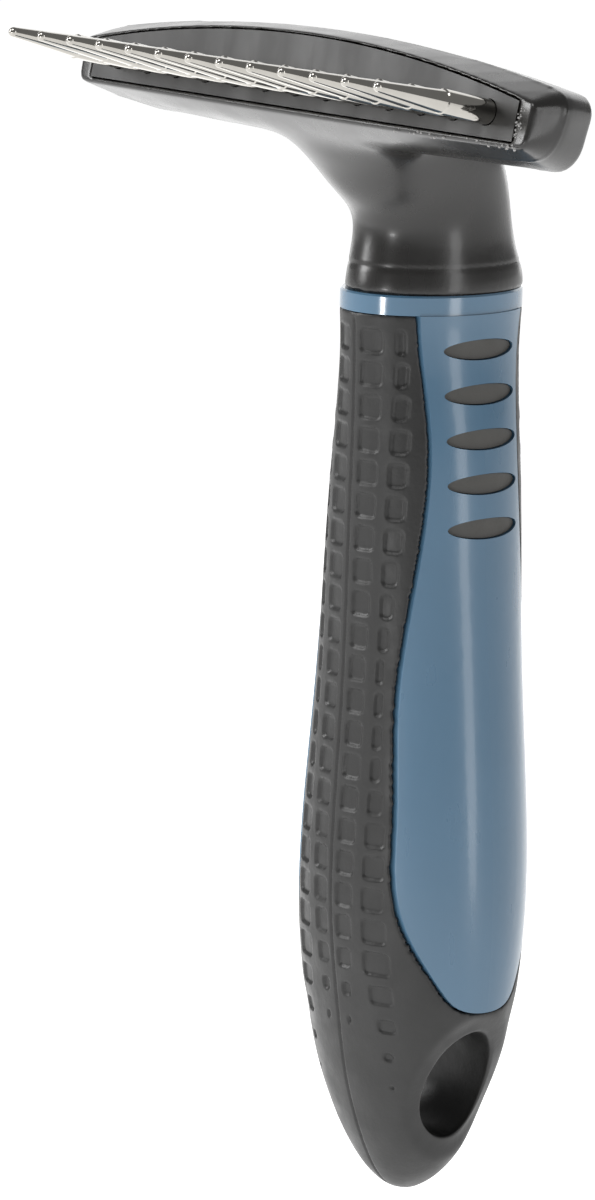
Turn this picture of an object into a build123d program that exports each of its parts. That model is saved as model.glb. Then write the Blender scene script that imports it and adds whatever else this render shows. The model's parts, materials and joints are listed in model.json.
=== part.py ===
"""Undercoat rake: a bar head on a goose neck, thirteen turning steel pins and a soft-grip handle."""

import os
from math import cos, radians, sin

from build123d import *

os.makedirs("parts", exist_ok=True)

# Frame: millimetres, +Z up the handle, pins towards -Y, head along X.
# The origin is the centre of the hanging hole in the handle's tail.

# Handle
handle_top = 111.0  # height of the joint between handle and ring
# (height, half width along X, half depth along Y) of the handle's oval sections, top to tail
handle_sections = [
    (111.0, 10.9, 14.2),
    (95.0, 11.9, 13.8),
    (77.0, 13.3, 14.0),
    (60.0, 14.7, 14.2),
    (42.0, 16.4, 15.0),
    (25.0, 17.3, 15.1),
    (10.0, 16.6, 13.2),
    (0.0, 14.5, 11.3),
    (-6.5, 11.9, 9.2),
    (-12.5, 8.2, 6.5),
    (-16.0, 4.6, 4.0),
    (-17.6, 1.8, 1.6),
]
skin_thickness = 2.6  # soft grip over the core
skin_gap = 0.05  # bond line between core and skin
core_bottom = -12.5
outer_reach = 30.0  # past the handle's surface on either side

# Hanging hole
hole_half_depth = 5.8
hole_half_height = 8.4
hole_lining = 1.6  # soft material between the hole and the core

# Side panels and finger pads
panel_proud = 0.25
panel_gap = 0.15
panel_bottom = 11.6
# (half width along Y, height) down the panel's edge
panel_edge = [
    (9.4, 111.0),
    (8.0, 94.5),
    (9.6, 75.0),
    (11.6, 57.0),
    (12.2, 39.0),
    (11.3, 24.0),
    (7.0, 15.2),
]
pad_count = 5
pad_pitch = 6.27
pad_top_height = 106.0
pad_half_width = 6.45
pad_half_height = 1.35
pad_centre_y = 0.6
pad_gap = 0.12
pad_recess = 0.2  # pad face below the handle's own surface

# Collar ring
ring_height = 2.75
ring_half_width = 10.9
ring_half_depth = 14.2
ring_clearance = 0.05
ring_chamfer = 0.25

# Head bar, in its own tilted frame: depths run back from the front face
head_tilt = 12.4  # degrees that the pins point above the horizontal
head_y = -25.65
head_z = 143.4  # height of the pin row at the front face
bar_middle = 5.0  # depth of the widest outline, where the mould parts
bar_depth = 12.4
# Outlines across the bar: (half width at the top, top, its rise, half width at the bottom, bottom, its
# fall, upper corner radius, lower corner radius), heights measured from the pin row
front_shape = (48.6, 7.2, 5.2, 48.2, -4.3, 0.1, 1.0, 1.0)
middle_shape = (50.5, 8.5, 4.4, 48.9, -6.8, 1.7, 2.6, 5.0)
rear_shape = (47.2, 8.2, 3.8, 46.0, -6.6, 0.6, 3.0, 4.5)
rear_round = 1.2

# Pin plate
plate_half_width = 45.6
plate_top = 6.7
plate_rise = 4.6
plate_bottom = -3.4
plate_thickness = 3.0
plate_gap = 0.15

# Pins
pin_count = 13
pin_pitch = 6.63
pin_radius = 1.75
pin_hole_radius = 1.85
pin_shoulder = 8.4  # from the plate to the shoulder
pin_taper_radius = 1.58  # just past the shoulder
pin_tip_centre = 19.5  # from the plate to the centre of the rounded tip
pin_tip_radius = 0.72
flange_radius = 2.5
flange_thickness = 1.2
flange_pocket_radius = 2.65
flange_pocket_depth = 1.4
flange_play = 0.1
journal_radius = 1.0
journal_length = 3.0
socket_radius = 1.06
socket_depth = 3.3

# Neck. The skirt stands inside the ring; above it (height, centre along Y, half width along X, half depth,
# lean in degrees) of the neck's sections
skirt_y = 0.3
skirt_half_width = 10.2
skirt_half_depth = 13.3
neck_foot = 113.85
neck_sections = [
    (neck_foot, 0.4, 10.4, 13.9, 0),
    (119.0, 0.1, 9.9, 12.9, 0),
    (123.5, -0.3, 9.8, 12.1, 3),
    (128.0, -1.5, 10.6, 12.0, 15),
    (132.5, -5.5, 12.1, 11.2, 32),
    (137.5, -12.5, 14.8, 8.5, 54),
    (141.5, -19.8, 18.5, 5.4, 72),
]
spigot_length = 26.0
spigot_half_width = 6.5
spigot_half_depth = 9.5
spigot_clearance = 0.05

face = Plane(
    origin=(0, head_y, head_z),
    x_dir=(1, 0, 0),
    z_dir=(0, -cos(radians(head_tilt)), sin(radians(head_tilt))),
)


def handle_loft(inset, lowest=-100.0):
    """Solid of the handle's sections drawn in by inset, down to the height lowest.

    Every oval is a stretched circle, so that all of them start at +X and the loft doesn't twist.
    """
    with BuildPart() as solid:
        for height, half_width, half_depth in handle_sections:
            if height >= lowest:
                with BuildSketch(Plane.XY.offset(height)):
                    Circle(1)
                    scale(by=(half_width - inset, half_depth - inset, 1))
        loft()
    return solid.part


def hole_prism(margin):
    """Oval bar along X, larger than the hanging hole by margin."""
    with BuildPart() as solid:
        with BuildSketch(Plane.YZ):
            Ellipse(hole_half_depth + margin, hole_half_height + margin)
        extrude(amount=outer_reach, both=True)
    return solid.part


def panel_prism(margin):
    """Bar along +X with the side panel's outline, drawn out by margin."""
    above_top = handle_top + 1
    edge = [(half_width + margin, height) for half_width, height in panel_edge] + [(0, panel_bottom - margin)]
    with BuildPart() as solid:
        with BuildSketch(Plane.YZ):
            with BuildLine():
                Spline(edge, tangents=[(-0.09, -1), (-1, 0)])
                Line(edge[0], (edge[0][0], above_top))
                Line((edge[0][0], above_top), (0, above_top))
                mirror(about=Plane.YZ)
            make_face()
        extrude(amount=outer_reach)
    return solid.part


def pad_prisms(margin):
    """Oval bars along +X, one for each finger pad, drawn out by margin."""
    with BuildPart() as solid:
        with BuildSketch(Plane.YZ):
            for index in range(pad_count):
                with Locations((pad_centre_y, pad_top_height - index * pad_pitch)):
                    Ellipse(pad_half_width + margin, pad_half_height + margin)
        extrude(amount=outer_reach)
    return solid.part


def bar_outline(shape):
    """Outline across the bar with an arched top, a slightly bowed bottom and rounded corners."""
    top_width, top, rise, bottom_width, bottom, fall, upper_corner, lower_corner = shape
    with BuildSketch() as outline:
        with BuildLine():
            ThreePointArc((top_width, top - rise), (0, top), (-top_width, top - rise))
            Line((-top_width, top - rise), (-bottom_width, bottom + fall))
            ThreePointArc((-bottom_width, bottom + fall), (0, bottom), (bottom_width, bottom + fall))
            Line((bottom_width, bottom + fall), (top_width, top - rise))
        make_face()
        fillet(outline.vertices().group_by(Axis.Y)[-1], upper_corner)
        fillet(outline.vertices().group_by(Axis.Y)[0], lower_corner)
    return outline.sketch


def plate_outline(margin):
    """Outline of the pin plate with an arched top and square corners, drawn out by margin."""
    half_width = plate_half_width + margin
    top = plate_top + margin
    bottom = plate_bottom - margin
    shoulder = top - plate_rise
    with BuildSketch() as outline:
        with BuildLine():
            ThreePointArc((half_width, shoulder), (0, top), (-half_width, shoulder))
            Polyline((-half_width, shoulder), (-half_width, bottom), (half_width, bottom), (half_width, shoulder))
        make_face()
    return outline.sketch


# Soft grip and hard core of the handle
core_blank = handle_loft(skin_thickness, core_bottom)
core_clearance = handle_loft(skin_thickness - skin_gap, core_bottom)

with BuildPart() as handle_core:
    add(core_blank)
    add(hole_prism(hole_lining), mode=Mode.SUBTRACT)
    with BuildSketch(Plane.XY.offset(handle_top)):
        Ellipse(spigot_half_width + spigot_clearance, spigot_half_depth + spigot_clearance)
    extrude(amount=-spigot_length - spigot_clearance, mode=Mode.SUBTRACT)
handle_core.part.label = "handle_core"
export_step(handle_core.part, "parts/handle_core.step")

with BuildPart() as rubber_grip:
    add(handle_loft(0))
    add(core_clearance - hole_prism(hole_lining - skin_gap), mode=Mode.SUBTRACT)
    add(panel_prism(0), mode=Mode.SUBTRACT)
    add(mirror(panel_prism(0), about=Plane.YZ), mode=Mode.SUBTRACT)
    add(hole_prism(0), mode=Mode.SUBTRACT)
rubber_grip.part.label = "rubber_grip"
export_step(rubber_grip.part, "parts/rubber_grip.step")

# Side panels with their windows, and the pads that fill the windows; the left ones mirror the right ones
with BuildPart() as side_panel_right:
    add(handle_loft(-panel_proud))
    add(core_clearance, mode=Mode.SUBTRACT)
    add(panel_prism(-panel_gap), mode=Mode.INTERSECT)
    add(pad_prisms(pad_gap), mode=Mode.SUBTRACT)
side_panel_right.part.label = "side_panel_right"
export_step(side_panel_right.part, "parts/side_panel_right.step")

with BuildPart() as side_panel_left:
    add(mirror(side_panel_right.part, about=Plane.YZ))
side_panel_left.part.label = "side_panel_left"
export_step(side_panel_left.part, "parts/side_panel_left.step")

with BuildPart() as finger_pads_right:
    add(handle_loft(pad_recess))
    add(core_clearance, mode=Mode.SUBTRACT)
    add(pad_prisms(0), mode=Mode.INTERSECT)
finger_pads_right.part.label = "finger_pads_right"
export_step(finger_pads_right.part, "parts/finger_pads_right.step")

with BuildPart() as finger_pads_left:
    add(mirror(finger_pads_right.part, about=Plane.YZ))
finger_pads_left.part.label = "finger_pads_left"
export_step(finger_pads_left.part, "parts/finger_pads_left.step")

# Collar ring round the foot of the neck
with BuildPart() as collar_ring:
    with BuildSketch(Plane.XY.offset(handle_top)):
        Ellipse(ring_half_width, ring_half_depth)
    extrude(amount=ring_height)
    chamfer(edges().group_by(Axis.Z)[-1], ring_chamfer)
    with BuildSketch(Plane.XY.offset(handle_top)):
        with Locations((0, skirt_y)):
            Ellipse(skirt_half_width + ring_clearance, skirt_half_depth + ring_clearance)
    extrude(amount=ring_height, mode=Mode.SUBTRACT)
collar_ring.part.label = "collar_ring"
export_step(collar_ring.part, "parts/collar_ring.step")

# Head: bar, neck and spigot in one moulding, with the plate's recess and a socket behind each pin
pin_places = [((index - (pin_count - 1) / 2) * pin_pitch, 0) for index in range(pin_count)]

with BuildPart() as head_body:
    with BuildSketch(face):
        add(bar_outline(front_shape))
    with BuildSketch(face.offset(-bar_middle)):
        add(bar_outline(middle_shape))
    loft(ruled=True)
    with BuildSketch(face.offset(-bar_middle)):
        add(bar_outline(middle_shape))
    with BuildSketch(face.offset(-bar_depth)):
        add(bar_outline(rear_shape))
    loft(ruled=True)
    fillet(edges().group_by(Axis(face.origin, face.z_dir))[0], rear_round)
    for height, centre_y, half_width, half_depth, lean in neck_sections:
        with BuildSketch(Plane((0, centre_y, height)).rotated((lean, 0, 0))):
            Circle(1)
            scale(by=(half_width, half_depth, 1))
    loft()
    with BuildSketch(Plane.XY.offset(handle_top)):
        with Locations((0, skirt_y)):
            Ellipse(skirt_half_width, skirt_half_depth)
    extrude(amount=neck_foot - handle_top)
    with BuildSketch(Plane.XY.offset(handle_top)):
        Ellipse(spigot_half_width, spigot_half_depth)
    extrude(amount=-spigot_length)
    with BuildSketch(face):
        add(plate_outline(plate_gap))
    extrude(amount=-plate_thickness, mode=Mode.SUBTRACT)
    with BuildSketch(face.offset(-plate_thickness)):
        with Locations(pin_places):
            Circle(socket_radius)
    extrude(amount=-socket_depth, mode=Mode.SUBTRACT)
head_body.part.label = "head_body"
export_step(head_body.part, "parts/head_body.step")

with BuildPart() as pin_plate:
    with BuildSketch(face):
        add(plate_outline(0))
    extrude(amount=-plate_thickness)
    with BuildSketch(face):
        with Locations(pin_places):
            Circle(pin_hole_radius)
    extrude(amount=-plate_thickness, mode=Mode.SUBTRACT)
    with BuildSketch(face.offset(flange_pocket_depth - plate_thickness)):
        with Locations(pin_places):
            Circle(flange_pocket_radius)
    extrude(amount=-flange_pocket_depth, mode=Mode.SUBTRACT)
pin_plate.part.label = "pin_plate"
export_step(pin_plate.part, "parts/pin_plate.step")

# Pins: journal, retaining flange, parallel base, rounded shoulder, taper and rounded tip
flange_back = flange_play - plate_thickness
flange_front = flange_back + flange_thickness
shoulder_round = pin_radius - pin_taper_radius
for index, place in enumerate(pin_places):
    pin_plane = Plane(face.from_local_coords(place), x_dir=(1, 0, 0), z_dir=face.x_dir.cross(face.y_dir))
    section = Plane(pin_plane.origin, x_dir=(1, 0, 0), z_dir=-pin_plane.y_dir)
    with BuildPart() as pin:
        with BuildSketch(section):
            with BuildLine():
                Polyline(
                    (0, flange_back - journal_length),
                    (journal_radius, flange_back - journal_length),
                    (journal_radius, flange_back),
                    (flange_radius, flange_back),
                    (flange_radius, flange_front),
                    (pin_radius, flange_front),
                    (pin_radius, pin_shoulder - shoulder_round),
                    (pin_taper_radius, pin_shoulder),
                    (pin_tip_radius, pin_tip_centre),
                )
                RadiusArc(
                    (pin_tip_radius, pin_tip_centre), (0, pin_tip_centre + pin_tip_radius), -pin_tip_radius
                )
                Line((0, pin_tip_centre + pin_tip_radius), (0, flange_back - journal_length))
            make_face()
        revolve(axis=Axis(pin_plane.origin, pin_plane.z_dir))
    name = "pin_%02d" % (index + 1)
    pin.part.label = name
    export_step(pin.part, "parts/" + name + ".step")
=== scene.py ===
"""Looks of the undercoat rake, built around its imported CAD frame."""

import json
import math
import random

import bpy
import numpy as np
from mathutils import Matrix, Vector


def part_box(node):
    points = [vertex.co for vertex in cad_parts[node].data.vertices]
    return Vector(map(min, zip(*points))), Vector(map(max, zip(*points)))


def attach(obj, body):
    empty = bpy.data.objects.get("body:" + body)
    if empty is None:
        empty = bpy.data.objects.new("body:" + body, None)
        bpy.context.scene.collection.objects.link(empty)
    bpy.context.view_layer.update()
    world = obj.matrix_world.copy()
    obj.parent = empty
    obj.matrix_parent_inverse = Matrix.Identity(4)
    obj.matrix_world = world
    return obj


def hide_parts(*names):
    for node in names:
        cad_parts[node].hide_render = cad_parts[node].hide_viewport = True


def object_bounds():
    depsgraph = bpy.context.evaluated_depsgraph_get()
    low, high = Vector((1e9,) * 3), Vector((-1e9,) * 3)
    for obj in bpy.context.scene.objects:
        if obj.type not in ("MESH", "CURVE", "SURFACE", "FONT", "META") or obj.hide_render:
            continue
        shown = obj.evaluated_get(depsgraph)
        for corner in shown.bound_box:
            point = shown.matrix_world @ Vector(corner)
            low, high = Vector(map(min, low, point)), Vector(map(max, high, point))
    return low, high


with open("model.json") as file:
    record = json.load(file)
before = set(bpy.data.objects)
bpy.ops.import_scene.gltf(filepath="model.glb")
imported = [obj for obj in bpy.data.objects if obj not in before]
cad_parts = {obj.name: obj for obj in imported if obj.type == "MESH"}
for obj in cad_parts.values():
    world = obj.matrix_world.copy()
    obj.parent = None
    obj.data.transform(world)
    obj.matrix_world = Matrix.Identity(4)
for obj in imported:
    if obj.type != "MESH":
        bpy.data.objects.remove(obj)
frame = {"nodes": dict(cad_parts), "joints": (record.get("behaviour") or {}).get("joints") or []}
cad_low, cad_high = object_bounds()
MM = 0.001  # plain lengths in the grip's and the head's sections are in mm, and this turns them into metres

ring_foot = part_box("collar_ring")[0].z
panel_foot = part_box("side_panel_right")[0].z
plate_low, plate_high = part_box("pin_plate")
middle_joint = frame["joints"][len(frame["joints"]) // 2]
FACE_ORIGIN = Vector(middle_joint["pos_m"])  # centre of the pin row on the head's front face
FACE_NORMAL = Vector(middle_joint["axis"]).normalized()
FACE_UP = Vector((1, 0, 0)).cross(-FACE_NORMAL).normalized()

# ---------------------------------------------------------------- camera

CAMERA_AZIMUTH = math.radians(49.2)
CAMERA_DISTANCE = 860.6 * MM
CAMERA_RISE = 117.6 * MM  # above the foot of the collar ring
CAMERA_PAN = math.radians(1.157)
CAMERA_TILT = math.radians(10.565)
CAMERA_ROLL = math.radians(1.66)
CAMERA_LENS = 184.43
SENSOR_WIDTH = 36.0
NEAREST_SEEN = 0.05
FARTHEST_SEEN = 20.0
HANDLE_AXIS_Y = -0.36 * MM


def make_camera():
    """A long lens in front, to the right and a little above, panned and rolled off the handle's axis."""
    data = bpy.data.cameras.new("camera")
    data.lens = CAMERA_LENS
    data.sensor_width = SENSOR_WIDTH
    data.sensor_fit = "AUTO"
    data.clip_start = NEAREST_SEEN
    data.clip_end = FARTHEST_SEEN
    camera = bpy.data.objects.new("camera", data)
    bpy.context.scene.collection.objects.link(camera)
    place = Vector((
        CAMERA_DISTANCE * math.sin(CAMERA_AZIMUTH),
        HANDLE_AXIS_Y - CAMERA_DISTANCE * math.cos(CAMERA_AZIMUTH),
        ring_foot + CAMERA_RISE,
    ))
    yaw = CAMERA_AZIMUTH + CAMERA_PAN
    forward = Vector((
        -math.sin(yaw) * math.cos(CAMERA_TILT),
        math.cos(yaw) * math.cos(CAMERA_TILT),
        -math.sin(CAMERA_TILT),
    ))
    level = Vector((math.cos(yaw), math.sin(yaw), 0))
    above = level.cross(forward)
    right = level * math.cos(CAMERA_ROLL) + above * math.sin(CAMERA_ROLL)
    up = above * math.cos(CAMERA_ROLL) - level * math.sin(CAMERA_ROLL)
    turn = Matrix((right, up, -forward)).transposed()
    camera.matrix_world = Matrix.Translation(place) @ turn.to_4x4()
    bpy.context.scene.camera = camera


# ---------------------------------------------------------------- materials


def new_material(name, color, roughness, metallic=0.0):
    """A principled material; returns it with its node tree and shader."""
    material = bpy.data.materials.new(name)
    material.use_nodes = True
    shader = material.node_tree.nodes["Principled BSDF"]
    shader.inputs["Base Color"].default_value = (*color, 1)
    shader.inputs["Roughness"].default_value = roughness
    shader.inputs["Metallic"].default_value = metallic
    return material, material.node_tree, shader


def noise(tree, scale, detail=3.0, stretch=(1, 1, 1)):
    """Noise in the part's own frame, its features about 1/scale metres across."""
    nodes, links = tree.nodes, tree.links
    place = nodes.new("ShaderNodeTexCoord")
    mapping = nodes.new("ShaderNodeMapping")
    mapping.inputs["Scale"].default_value = stretch
    texture = nodes.new("ShaderNodeTexNoise")
    texture.inputs["Scale"].default_value = scale
    texture.inputs["Detail"].default_value = detail
    links.new(place.outputs["Object"], mapping.inputs["Vector"])
    links.new(mapping.outputs["Vector"], texture.inputs["Vector"])
    return texture.outputs["Fac"]


def ramp(tree, value, stops):
    """A colour read off the stops, each (position, colour), at the value."""
    node = tree.nodes.new("ShaderNodeValToRGB")
    elements = node.color_ramp.elements
    while len(elements) < len(stops):
        elements.new(0.5)
    for element, (position, color) in zip(elements, stops):
        element.position = position
        element.color = (*color, 1)
    tree.links.new(value, node.inputs["Fac"])
    return node.outputs["Color"]


def shaded(color, factor):
    """The colour made darker (factor below 1) or lighter."""
    return tuple(min(1.0, channel * factor) for channel in color)


def vary_color(tree, shader, value, color, spread):
    """The base colour wanders by spread either way as value goes from low to high."""
    stops = [(0.3, shaded(color, 1 - spread)), (0.7, shaded(color, 1 + spread))]
    tree.links.new(ramp(tree, value, stops), shader.inputs["Base Color"])


def vary_roughness(tree, shader, value, low, high):
    """The roughness wanders from low to high as value does."""
    stops = [(0.35, (low, low, low)), (0.65, (high, high, high))]
    tree.links.new(ramp(tree, value, stops), shader.inputs["Roughness"])


def add_bumps(tree, shader, layers):
    """Bump layers, each (height value, strength, depth in metres), one over the other."""
    last = None
    for value, strength, depth in layers:
        bump = tree.nodes.new("ShaderNodeBump")
        bump.inputs["Strength"].default_value = strength
        bump.inputs["Distance"].default_value = depth
        tree.links.new(value, bump.inputs["Height"])
        if last:
            tree.links.new(last, bump.inputs["Normal"])
        last = bump.outputs["Normal"]
    tree.links.new(last, shader.inputs["Normal"])


COAT_ROUGHNESS = 0.12


def moulded_plastic(name, color, low, high, orange_peel, coat=0.0):
    """Glossy moulded plastic: roughness from low to high along slight flow marks, and orange peel."""
    material, tree, shader = new_material(name, color, low)
    vary_color(tree, shader, noise(tree, 60, 4), color, 0.03)
    vary_roughness(tree, shader, noise(tree, 180, 5, (1, 1, 0.35)), low, high)
    add_bumps(tree, shader, [(noise(tree, 260, 2), orange_peel, 0.0002)])
    shader.inputs["Coat Weight"].default_value = coat
    shader.inputs["Coat Roughness"].default_value = COAT_ROUGHNESS
    return material


def rubber(name, color, low, high, grain):
    """Matte moulded rubber with a fine grain."""
    material, tree, shader = new_material(name, color, low)
    vary_color(tree, shader, noise(tree, 90, 5), color, 0.12)
    vary_roughness(tree, shader, noise(tree, 240, 4), low, high)
    add_bumps(tree, shader, [(noise(tree, 1800, 3), grain, 0.0001), (noise(tree, 300, 2), 0.15, 0.0002)])
    return material


def polished_steel(name, color, low, high):
    """Nickel-plated steel with faint turning marks."""
    material, tree, shader = new_material(name, color, low, 1.0)
    vary_color(tree, shader, noise(tree, 300, 3), color, 0.05)
    vary_roughness(tree, shader, noise(tree, 700, 4), low, high)
    add_bumps(tree, shader, [(noise(tree, 1400, 2, (1, 0.15, 0.15)), 0.06, 0.00005)])
    return material


BLUE = (0.060, 0.132, 0.208)
PAD_GREY = (0.066, 0.064, 0.059)
FLASH_GREY = (0.30, 0.295, 0.29)
NICKEL = (0.42, 0.405, 0.375)
HEAD_GREY = (0.0125, 0.0118, 0.011)
GRIP_GREY = (0.0105, 0.0105, 0.0102)

# Each with its colour, its lowest and highest roughness, and how strong its orange peel or grain is
materials = {
    "blue": moulded_plastic("blue_pearl_plastic", BLUE, 0.27, 0.31, 0.0, coat=0.4),
    # The ring's colour is the panels' blue made a tenth lighter: a painted sheen for the ring's glossier
    # surface.
    "ring": moulded_plastic("blue_ring_plastic_painted_sheen", shaded(BLUE, 1.1), 0.15, 0.19, 0.03, coat=0.6),
    "head": moulded_plastic("dark_head_plastic", HEAD_GREY, 0.25, 0.31, 0.05, coat=0.1),
    "plate": moulded_plastic("dark_plate_plastic", shaded(HEAD_GREY, 0.7), 0.38, 0.48, 0.22),
    "core": moulded_plastic("black_core_plastic", shaded(HEAD_GREY, 0.6), 0.40, 0.55, 0.20),
    "grip": rubber("grip_rubber", GRIP_GREY, 0.39, 0.51, 0.25),
    "pad": rubber("pad_rubber", PAD_GREY, 0.60, 0.72, 0.35),
    "pin": polished_steel("nickel_steel", NICKEL, 0.06, 0.11),
    "crumb": rubber("weld_flash_plastic", FLASH_GREY, 0.55, 0.70, 0.40),
}

# The pins aren't listed: they have the finish "pin"
NODE_FINISH = {
    "handle_core": "core",
    "side_panel_right": "blue",
    "side_panel_left": "blue",
    "finger_pads_right": "pad",
    "finger_pads_left": "pad",
    "collar_ring": "ring",
    "pin_plate": "plate",
    "head_body": "head",
    "rubber_grip": "grip",
}


def finish_node(name):
    """Gives a CAD node its material and leaves its mesh alone."""
    node = frame["nodes"][name]
    finish = materials[NODE_FINISH.get(name, "pin")]
    if not node.material_slots:
        node.data.materials.append(finish)
    for slot in node.material_slots:
        slot.material = finish


# ---------------------------------------------------------------- mesh tools

WELD_REACH = 0.000002
LEAST_WEIGHT = 0.02
RELAX_FACTOR = 0.5


def copy_node(name, new_name):
    """A welded copy of a CAD node's mesh as a new object."""
    piece = frame["nodes"][name].copy()
    piece.data = piece.data.copy()
    piece.name = new_name
    piece.data.name = new_name
    for key in list(piece.keys()):
        del piece[key]
    piece.parent = None
    piece.matrix_world = Matrix.Identity(4)
    bpy.context.scene.collection.objects.link(piece)
    weld = piece.modifiers.new("weld", "WELD")
    weld.merge_threshold = WELD_REACH
    apply_modifiers(piece)
    return piece


def apply_modifiers(piece):
    """Replaces the piece's mesh by what its modifiers make of it."""
    depsgraph = bpy.context.evaluated_depsgraph_get()
    mesh = bpy.data.meshes.new_from_object(piece.evaluated_get(depsgraph), depsgraph=depsgraph)
    piece.modifiers.clear()
    piece.data = mesh


def remesh(piece, voxel, turn):
    """Even closed mesh of the piece, made while the piece is turned against the grid."""
    piece.data.transform(turn)
    modifier = piece.modifiers.new("remesh", "REMESH")
    modifier.mode = "VOXEL"
    modifier.voxel_size = voxel
    modifier.use_smooth_shade = True
    apply_modifiers(piece)
    piece.data.transform(turn.inverted())


def points_of(piece):
    points = np.zeros(len(piece.data.vertices) * 3)
    piece.data.vertices.foreach_get("co", points)
    return points.reshape(-1, 3)


def normals_of(piece):
    normals = np.zeros(len(piece.data.vertices) * 3)
    piece.data.vertices.foreach_get("normal", normals)
    return normals.reshape(-1, 3)


def set_points(piece, points):
    """Moves the piece's points, none of them out of the CAD model's box."""
    points = np.clip(points, np.array(cad_low), np.array(cad_high))
    piece.data.vertices.foreach_set("co", points.ravel())
    piece.data.update()


def smooth(piece, weights, repeats):
    """Relaxes the mesh where weights (0 to 1, one for each vertex) are above zero."""
    group = piece.vertex_groups.new(name="relax")
    for index in np.nonzero(weights > LEAST_WEIGHT)[0]:
        group.add([int(index)], float(weights[index]), "REPLACE")
    modifier = piece.modifiers.new("relax", "SMOOTH")
    modifier.factor = RELAX_FACTOR
    modifier.iterations = repeats
    modifier.vertex_group = group.name
    apply_modifiers(piece)
    piece.vertex_groups.clear()


def soft_step(value, edge):
    """0 below zero, 1 above edge, smooth between."""
    t = np.clip(value / edge, 0, 1)
    return t * t * (3 - 2 * t)


# ---------------------------------------------------------------- grip

GRIP_VOXEL = 0.28 * MM
# Turned away from the panel's edges, which would otherwise come out stepped
GRIP_TURN = Matrix.Rotation(0.62, 4, "X") @ Matrix.Rotation(0.47, 4, "Y") @ Matrix.Rotation(0.35, 4, "Z")
SQUARE_PITCH = 4.66
SQUARE_HEIGHT = 3.67
SQUARE_TOP = 2.0  # from the ring down to the first row
SQUARE_DEPTH = 0.36
SQUARE_EDGE = 0.28  # slope round each square
SQUARE_CORNER = 0.8
# height above the hanging hole, then the near and far side of the inner and of the outer column, from the
# front seam (mm); the columns follow the side panel's edge
COLUMNS = [
    (107.0, 1.05, 4.70, 6.05, 7.15),
    (93.0, 1.10, 4.70, 6.05, 8.30),
    (79.0, 1.15, 4.65, 5.95, 8.35),
    (60.0, 1.10, 4.15, 5.80, 6.95),
    (46.0, 1.20, 4.45, 6.00, 7.70),
    (36.0, 1.05, 4.35, 5.85, 9.10),
    (27.0, 0.90, 4.10, 5.60, 9.10),
    (18.0, 0.90, 3.60, 5.60, 9.90),
    (9.0, 1.90, 2.60, 7.10, 9.80),
    (1.0, 2.20, 2.40, 7.60, 8.40),
]
FADES = [(22.0, 5.0), (18.0, -1.0)]  # heights where each column's squares start to shrink and are gone
FADE_LOSS = 0.85  # of a square's height, over the whole fade
SKIN_RISE = 0.28  # brings the soft skin level with the side panels
SKIN_REPEATS = 10  # of smoothing, all over
PLAIN_TOP = 0.6  # band under the ring with no seam or squares
PLAIN_FADE = 0.4
SEAM_DEPTH = 0.22
SEAM_FLOOR = 0.05  # from the seam's middle to the foot of its slopes
SEAM_SLOPE = 0.22  # width of the slope on each side of the seam
# The skin rises between these places, one below the ring and one below the panel's foot
RISE_TOP = 6.0
RISE_TOP_FADE = 30.0
RISE_BOTTOM = 4.0
RISE_BOTTOM_FADE = 6.0
# Shares of a normal, from 0 to 1: outward, sideways, and to the front or back
OUTER_FACING = 0.6
FLANK_FACING = 0.5
RISE_FACING = 0.15
RISE_FACING_FADE = 0.4
SQUARES_FACING = 0.25
SQUARES_FACING_FADE = 0.2
HOLE_HALF_DEPTH = 5.8
HOLE_HALF_HEIGHT = 8.4
LIP_DEPTH = 2.0
LIP_REPEATS = 260  # of smoothing
# Shares of the hole's own size
LIP_REACH = 0.42
LIP_START = 0.8
LIP_SOFT_UP_TO = 1.08
LIP_SOFT_FADE = 0.45


def square_depth(x, z):
    """How deep, 0 to 1, the recessed squares are at a point of the front or back."""
    from_top = (ring_foot / MM - SQUARE_TOP) - z
    row = np.floor(from_top / SQUARE_PITCH)
    down = from_top - row * SQUARE_PITCH - SQUARE_HEIGHT / 2
    centre = z + down
    table = np.array(COLUMNS[::-1])
    depth = np.zeros_like(x)
    for column, (fade_top, fade_bottom) in enumerate(FADES):
        near = np.interp(centre, table[:, 0], table[:, 1 + 2 * column])
        far = np.interp(centre, table[:, 0], table[:, 2 + 2 * column])
        half_width = (far - near) / 2
        size = 1 - FADE_LOSS * np.clip((fade_top - centre) / (fade_top - fade_bottom), 0, 1)
        half_height = SQUARE_HEIGHT / 2 * size
        corner = np.minimum(SQUARE_CORNER, np.minimum(half_width, half_height))
        past_side = np.abs(np.abs(x) - (near + far) / 2) - (half_width - corner)
        past_top = np.abs(down) - (half_height - corner)
        outside = np.hypot(np.maximum(past_side, 0), np.maximum(past_top, 0))
        inside = corner - outside - np.minimum(np.maximum(past_side, past_top), 0)
        depth = np.maximum(depth, soft_step(inside, SQUARE_EDGE) * (centre > fade_bottom))
    return depth * (row >= 0)


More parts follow.
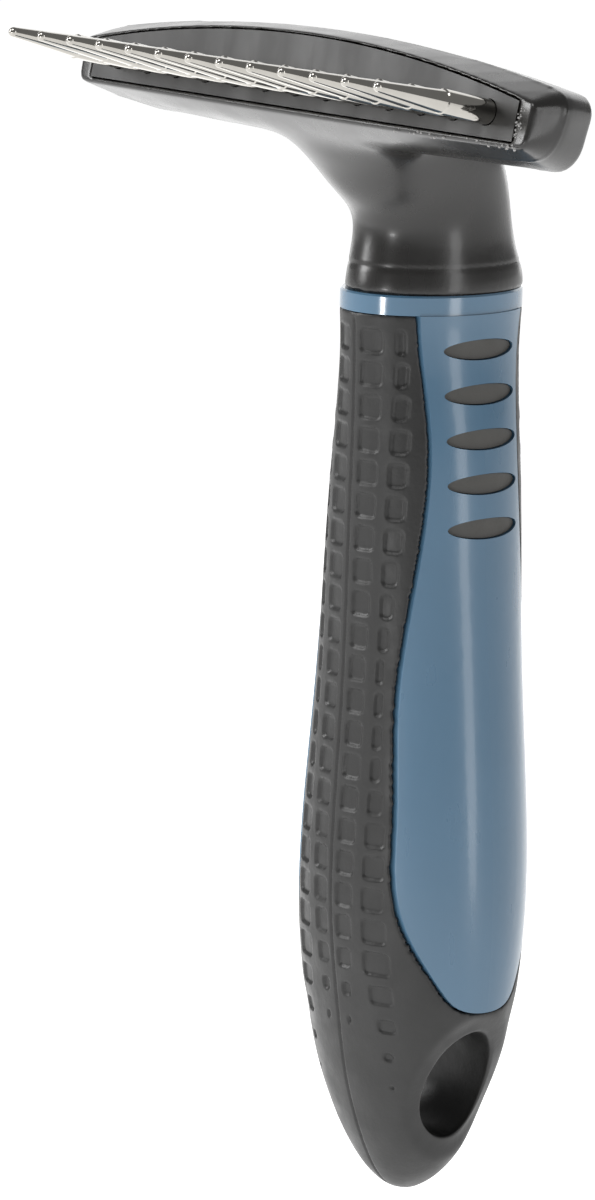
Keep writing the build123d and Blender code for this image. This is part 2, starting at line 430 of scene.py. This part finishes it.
def make_grip():
    """Rubber skin with recessed squares front and back, moulding seams and a soft lip round the hole."""
    piece = copy_node("rubber_grip", "grip_skin")
    remesh(piece, GRIP_VOXEL, GRIP_TURN)
    points = points_of(piece) / MM
    x, y, z = points.T
    hole = np.sqrt((y / HOLE_HALF_DEPTH) ** 2 + (z / HOLE_HALF_HEIGHT) ** 2)
    normals = normals_of(piece)
    flank = np.abs(normals[:, 0]) > FLANK_FACING
    dish = LIP_DEPTH * (1 - soft_step(hole - 1, LIP_REACH)) * flank * (hole > LIP_START)
    points[:, 0] -= np.sign(x) * dish
    set_points(piece, points * MM)
    smooth(piece, 1 - soft_step(hole - LIP_SOFT_UP_TO, LIP_SOFT_FADE), LIP_REPEATS)
    smooth(piece, np.ones(len(piece.data.vertices)), SKIN_REPEATS)

    points = points_of(piece) / MM
    x, y, z = points.T
    normals = normals_of(piece)
    radius = np.hypot(x, y)
    outward = (normals[:, 0] * x + normals[:, 1] * y) / np.maximum(radius, 0.01)
    front_or_back = soft_step(np.abs(normals[:, 1]) - SQUARES_FACING, SQUARES_FACING_FADE)
    front_or_back *= outward > OUTER_FACING
    below_ring = soft_step(ring_foot / MM - PLAIN_TOP - z, PLAIN_FADE)
    depth = SQUARE_DEPTH * square_depth(x, z)
    seam = SEAM_DEPTH * (1 - soft_step(np.abs(x) - SEAM_FLOOR, SEAM_SLOPE))
    depth = np.maximum(depth, seam) * front_or_back * below_ring
    beside_panel = soft_step(np.abs(normals[:, 0]) - RISE_FACING, RISE_FACING_FADE)
    beside_panel *= soft_step(z - panel_foot / MM + RISE_BOTTOM, RISE_BOTTOM_FADE)
    beside_panel *= soft_step(ring_foot / MM - RISE_TOP - z, RISE_TOP_FADE)
    flush = SKIN_RISE * (outward > OUTER_FACING) * below_ring * beside_panel
    set_points(piece, (points + normals * (flush - depth)[:, None]) * MM)
    piece.data.materials.clear()
    piece.data.materials.append(materials["grip"])
    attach(piece, "root")
    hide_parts("rubber_grip")


# ---------------------------------------------------------------- head

HEAD_VOXEL = 0.34 * MM
# Squares the bar to the grid
HEAD_TURN = Matrix.Rotation(math.atan2(FACE_NORMAL.z, -FACE_NORMAL.y), 4, "X")
# Above the pin row, so negative below it
RECESS_TOP = 6.95
RECESS_BOTTOM = -3.7
RIDGE_END = -5.5  # the ridge stops here over the neck
NECK_END = -6.0
BAR_UNDERSIDE = -6.8
ROUND_END = -9.5
# From the head's middle to either side
NECK_HALF_WIDTH = 16.0  # where it runs into the bar
NECK_CLEAR = 30.0  # past this there is no neck under the bar
RECESS_HALF_WIDTH = 45.9
# Behind the front face
FRONT_RIM = 1.2  # the rim this thick stays sharp
PARTING_BACK = 5.0  # the bar is widest here
RECESS_BACK = 8.0
# Above the ring's foot
NECK_SOFT_START = 3.5
NECK_GROOVE = 6.4
NECK_FLARE_START = 10.0
NECK_FLARE_TOP = 35.0
# How far each soft zone reaches, and its rounds of smoothing
SIDE_SHARE = 0.8  # below 1, it reaches further along the bar than round it
FILLET_START = 2.0
FILLET_REACH = 9.0
FILLET_REPEATS = 320
FLARE_FADE = 5.0
NECK_FADE = 2.0
NECK_SOFTNESS = 0.8
NECK_REPEATS = 12
PARTING_REACH = 3.0
PARTING_REPEATS = 90
HEAD_REPEATS = 3
RIDGE_HEIGHT = 0.07
RIDGE_WIDTH = 0.3
GROOVE_DEPTH = 0.10
GROOVE_WIDTH = 0.28


def bell(value, width):
    """1 at zero, falling off smoothly on both sides."""
    return np.exp(-(value / width) ** 2)


def head_frame(points):
    """Each point's place along the bar, above the pin row and behind the front face (mm)."""
    local = points - np.array(FACE_ORIGIN) / MM
    return local[:, 0], local @ np.array(FACE_UP), -(local @ np.array(FACE_NORMAL))


def soften_neck(piece):
    """Relaxes the neck and the underside of the bar until one flows into the other."""
    points = points_of(piece) / MM
    along, above, behind = head_frame(points)
    height = points[:, 2] - ring_foot / MM
    beside_neck = np.maximum(np.abs(along) - NECK_HALF_WIDTH, 0) * SIDE_SHARE
    from_joint = np.hypot(beside_neck, above - BAR_UNDERSIDE)
    under_bar = (1 - soft_step(from_joint - FILLET_START, FILLET_REACH)) * (behind > FRONT_RIM)
    flare = soft_step(height - NECK_FLARE_START, FLARE_FADE) * (above < NECK_END) * (height < NECK_FLARE_TOP)
    smooth(piece, np.ones(len(points)), HEAD_REPEATS)
    smooth(piece, np.maximum(under_bar, flare), FILLET_REPEATS)
    height = points_of(piece)[:, 2] / MM - ring_foot / MM
    below_bar = soft_step(NECK_END - above, NECK_FADE)
    smooth(piece, NECK_SOFTNESS * below_bar * (height > NECK_SOFT_START), NECK_REPEATS)


def round_bar(piece):
    """Rounds the bar's widest outline and leaves the recess for the pin plate sharp."""
    along, above, behind = head_frame(points_of(piece) / MM)
    recess = np.abs(along) < RECESS_HALF_WIDTH
    recess &= (above > RECESS_BOTTOM) & (above < RECESS_TOP) & (behind < RECESS_BACK)
    widest = bell(behind - PARTING_BACK, PARTING_REACH) * (above > ROUND_END)
    smooth(piece, widest * ~recess, PARTING_REPEATS)


def add_mould_lines(piece):
    """A parting ridge round the bar and a fine groove round the neck."""
    points = points_of(piece) / MM
    along, above, behind = head_frame(points)
    on_bar = (above > RIDGE_END) | (np.abs(along) > NECK_CLEAR)
    ridge = RIDGE_HEIGHT * bell(behind - PARTING_BACK, RIDGE_WIDTH) * on_bar
    height = points[:, 2] - ring_foot / MM
    groove = GROOVE_DEPTH * bell(height - NECK_GROOVE, GROOVE_WIDTH)
    set_points(piece, (points + normals_of(piece) * (ridge - groove)[:, None]) * MM)


def make_head():
    """Head moulding with the neck flowing into the bar, rounded edges and fine mould lines."""
    piece = copy_node("head_body", "head_shell")
    remesh(piece, HEAD_VOXEL, HEAD_TURN)
    soften_neck(piece)
    round_bar(piece)
    add_mould_lines(piece)
    piece.data.materials.clear()
    piece.data.materials.append(materials["head"])
    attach(piece, "root")
    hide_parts("head_body")


CRUMB_SEED = 7
CRUMB_PAIRS = 34
CRUMB_SIDES = 6
CRUMB_SINK = 0.03  # how far a crumb's foot is under the head's face
CRUMB_FLATNESS = 0.8  # a crumb's height across the face, as a share of its width
# Each ring's distance from the face and its radius, as shares of the crumb's size
CRUMB_RINGS = [(0.0, 1.0), (0.55, 0.8), (0.9, 0.3)]


def make_crumbs():
    """Crumbs of weld flash where the pin plate was welded into the head."""
    source = random.Random(CRUMB_SEED)
    corners = []
    faces = []
    right = plate_high.x / MM
    bottom = (plate_low - FACE_ORIGIN).dot(FACE_UP) / MM
    spots = []
    for _ in range(CRUMB_PAIRS):
        spots.append((right + source.uniform(0.2, 1.6), source.uniform(-3.0, 2.0)))
        spots.append((right - source.uniform(-1.0, 24.0), bottom + source.uniform(-0.5, 0.3)))
    for across, height in spots:
        size = source.uniform(0.06, 0.26)
        start = len(corners)
        for height_share, radius_share in CRUMB_RINGS:
            lift = height_share * size - CRUMB_SINK
            for step in range(CRUMB_SIDES):
                angle = math.tau * (step + source.uniform(-0.25, 0.25)) / CRUMB_SIDES
                reach = size * radius_share * source.uniform(0.7, 1.3)
                place = FACE_ORIGIN / MM + Vector((across + reach * math.cos(angle), 0, 0))
                place += FACE_UP * (height + CRUMB_FLATNESS * reach * math.sin(angle)) + FACE_NORMAL * lift
                corners.append(place * MM)
        top = start + CRUMB_SIDES * (len(CRUMB_RINGS) - 1)
        faces.append([start + step for step in reversed(range(CRUMB_SIDES))])
        faces.append([top + step for step in range(CRUMB_SIDES)])
        for ring_start in range(start, top, CRUMB_SIDES):
            for step in range(CRUMB_SIDES):
                here = ring_start + step
                beside = ring_start + (step + 1) % CRUMB_SIDES
                faces.append([here, beside, beside + CRUMB_SIDES, here + CRUMB_SIDES])
    mesh = bpy.data.meshes.new("weld_flash")
    mesh.from_pydata(corners, [], faces)
    piece = bpy.data.objects.new("weld_flash", mesh)
    bpy.context.scene.collection.objects.link(piece)
    mesh.materials.append(materials["crumb"])
    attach(piece, "root")


# ---------------------------------------------------------------- stage and light


FLOOR_DROP = 120 * MM  # below the handle's tail
FLOOR_RADIUS = 12.0
FLOOR_SIDES = 64
FLOOR_PAINT = (0.86, 0.86, 0.86)
FLOOR_GLOW = 0.8


def make_stage():
    """A plain pale floor that runs out to the white surround."""
    material, tree, shader = new_material("stage_paint", FLOOR_PAINT, 0.9)
    vary_color(tree, shader, noise(tree, 2, 2), FLOOR_PAINT, 0.01)
    shader.inputs["Emission Color"].default_value = (1, 1, 1, 1)
    shader.inputs["Emission Strength"].default_value = FLOOR_GLOW
    floor_height = cad_low.z - FLOOR_DROP
    corners = []
    for side in range(FLOOR_SIDES):
        angle = math.tau * side / FLOOR_SIDES
        corners.append((FLOOR_RADIUS * math.cos(angle), FLOOR_RADIUS * math.sin(angle), floor_height))
    mesh = bpy.data.meshes.new("floor")
    mesh.from_pydata(corners, [], [list(range(FLOOR_SIDES))])
    floor = bpy.data.objects.new("floor", mesh)
    bpy.context.scene.collection.objects.link(floor)
    mesh.materials.append(material)


def add_light(name, azimuth, elevation, distance, size, power):
    """A soft box that looks at the object's middle: angles in degrees, lengths in metres, power in watts.

    Azimuth 0 is in front, positive towards +X.
    """
    target = (cad_low + cad_high) / 2
    around, lift = math.radians(azimuth), math.radians(elevation)
    direction = Vector((
        math.sin(around) * math.cos(lift),
        -math.cos(around) * math.cos(lift),
        math.sin(lift),
    ))
    data = bpy.data.lights.new(name, "AREA")
    data.shape = "RECTANGLE"
    data.size, data.size_y = size
    data.energy = power
    light = bpy.data.objects.new(name, data)
    bpy.context.scene.collection.objects.link(light)
    light.visible_camera = False
    light.location = target + direction * distance
    light.rotation_euler = direction.to_track_quat("Z", "Y").to_euler()


SURROUND_SEEN = 1.0  # brightness of the white surround behind the object
SURROUND_LIGHT = 0.26  # what the surround gives the object


def make_lights():
    """A white surround, and soft boxes on either side, in front, above, behind and below."""
    world = bpy.data.worlds.new("world")
    bpy.context.scene.world = world
    world.use_nodes = True
    nodes, links = world.node_tree.nodes, world.node_tree.links
    background = nodes["Background"]
    background.inputs["Color"].default_value = (1, 1, 1, 1)
    path = nodes.new("ShaderNodeLightPath")
    strength = nodes.new("ShaderNodeMapRange")
    strength.inputs["To Min"].default_value = SURROUND_LIGHT
    strength.inputs["To Max"].default_value = SURROUND_SEEN
    links.new(path.outputs["Is Camera Ray"], strength.inputs["Value"])
    links.new(strength.outputs["Result"], background.inputs["Strength"])
    add_light("left", -42, 24, 1.0, (0.26, 0.6), 6)
    add_light("right", 103, 8, 1.0, (0.2, 0.9), 2.0)
    add_light("front", 13, -4, 1.0, (0.14, 0.07), 1.1)
    add_light("top", 10, 60, 1.1, (0.5, 0.5), 4)
    add_light("back", 229, 20, 1.2, (1.4, 1.0), 5)
    add_light("under", -111, -25, 0.31, (0.2, 0.2), 0.07)
    view = bpy.context.scene.view_settings
    view.view_transform = "Standard"
    view.look = "None"
    view.exposure = 0.0


make_camera()
for node_name in frame["nodes"]:
    finish_node(node_name)
make_grip()
make_head()
make_crumbs()
make_stage()
make_lights()
